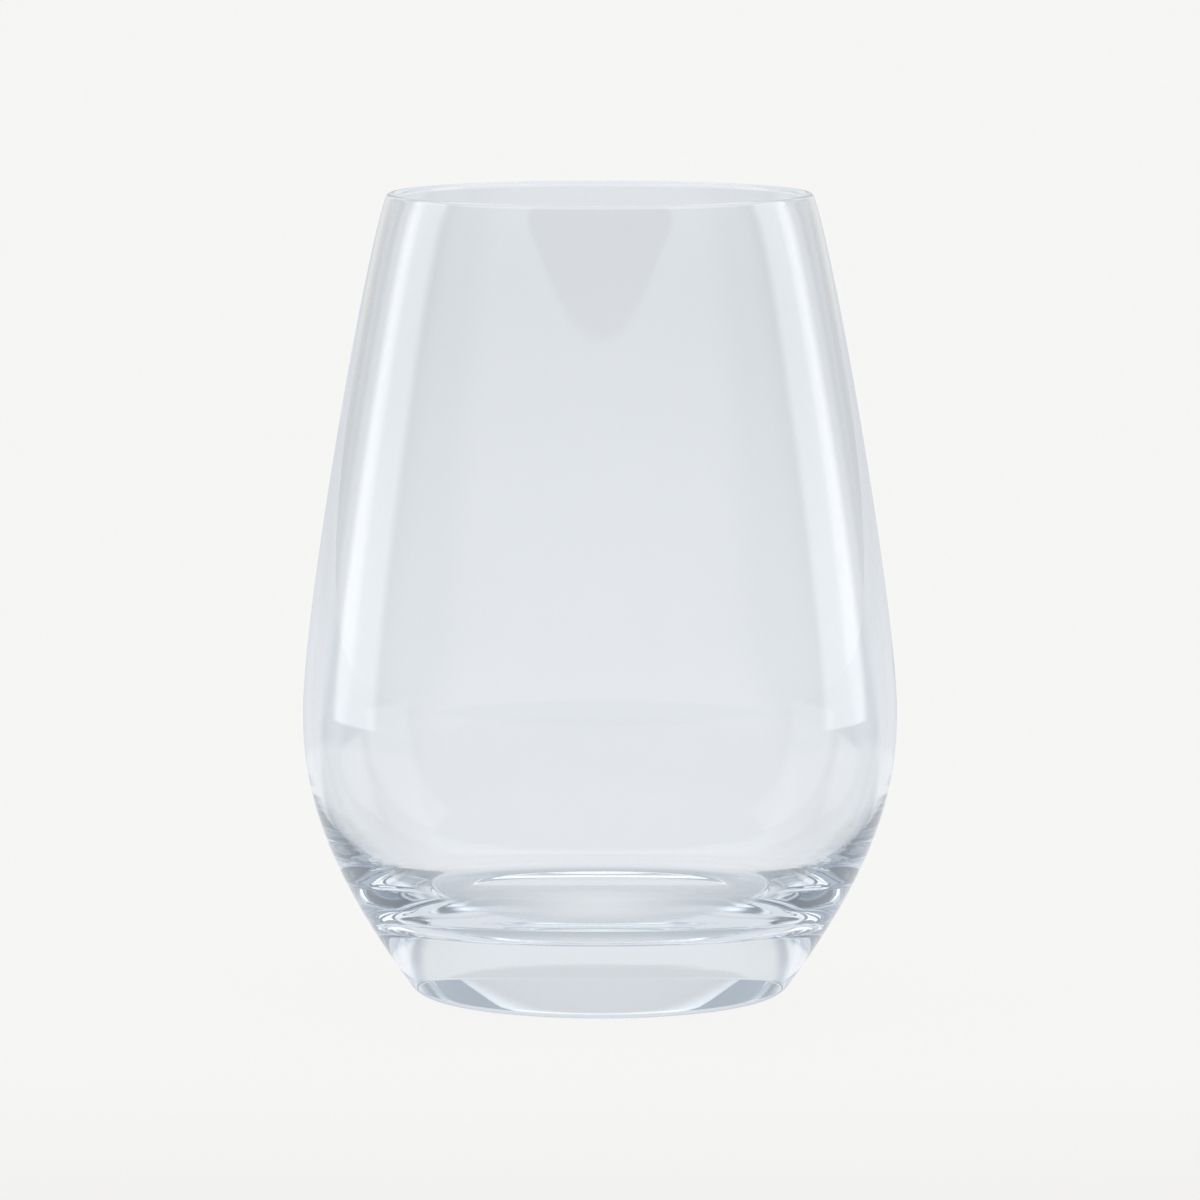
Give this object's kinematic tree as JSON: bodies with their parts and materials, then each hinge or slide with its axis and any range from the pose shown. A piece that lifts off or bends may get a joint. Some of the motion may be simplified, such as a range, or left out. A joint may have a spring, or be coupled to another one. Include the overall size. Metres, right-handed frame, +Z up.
{
  "type": "highball glass",
  "caption": "Stemless clear glass tumbler with a heavy foot, a low rounded belly and a wall that draws in to a thin polished lip, for water and long drinks.",
  "frame": {"origin": "on the table, at the glass's axis, in the plane of the foot's bearing ring", "axes": "+Z up along the glass's axis, from the foot to the lip; X and Y are alike"},
  "size_m": [0.0816, 0.0816, 0.11],
  "materials": {
    "clear_glass": "clear soda-lime glass, fire-polished"
  },
  "bodies": {
    "root": {"tumbler": "clear_glass"}
  },
  "joints": []
}
